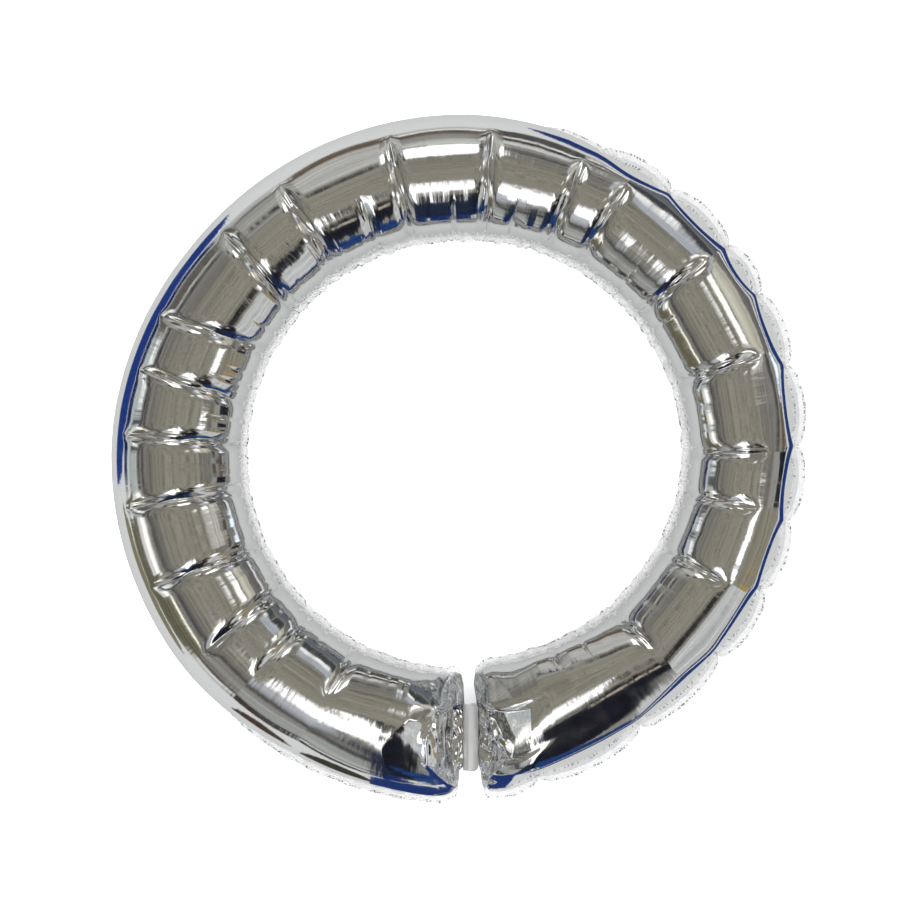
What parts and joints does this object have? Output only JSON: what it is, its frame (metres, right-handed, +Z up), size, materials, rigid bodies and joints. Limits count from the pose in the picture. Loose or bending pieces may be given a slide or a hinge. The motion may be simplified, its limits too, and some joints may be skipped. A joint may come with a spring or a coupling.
{
  "type": "ring foil balloon",
  "caption": "Inflated open ring of silver metallised film with heat-sealed edges, gathered ends and a small closing tab that lifts so rings can be linked.",
  "frame": {"origin": "centre of the ring's box, on the surface that the ring lies on", "axes": "+Z up out of the front film, gap and closing tab towards -Y, +X to the right as seen from above"},
  "size_m": [0.349, 0.346, 0.0565],
  "materials": {
    "film": "mirror-bright metallised film with a faint drawn grain and sharp folds",
    "sealed_edge": "heat-sealed strip with fine knurling, puckered",
    "neck_film": "crumpled metallised film",
    "tab_film": "smooth satin strip of doubled film"
  },
  "bodies": {
    "ring": {"front_film": "film", "back_film": "film", "outer_seam": "sealed_edge", "inner_seam": "sealed_edge", "left_end_seam_inner": "sealed_edge", "left_end_seam_outer": "sealed_edge", "right_end_seam_inner": "sealed_edge", "right_end_seam_outer": "sealed_edge", "left_neck": "neck_film", "right_neck": "neck_film"},
    "tab": {"link_tab": "tab_film"}
  },
  "joints": [
    {"name": "tab_lift", "type": "hinge", "parent": "ring", "child": "tab", "pos_m": [0.00202, -0.13951, 0.0306], "axis": [0, -1, 0], "range_deg": [0, 90]}
  ]
}
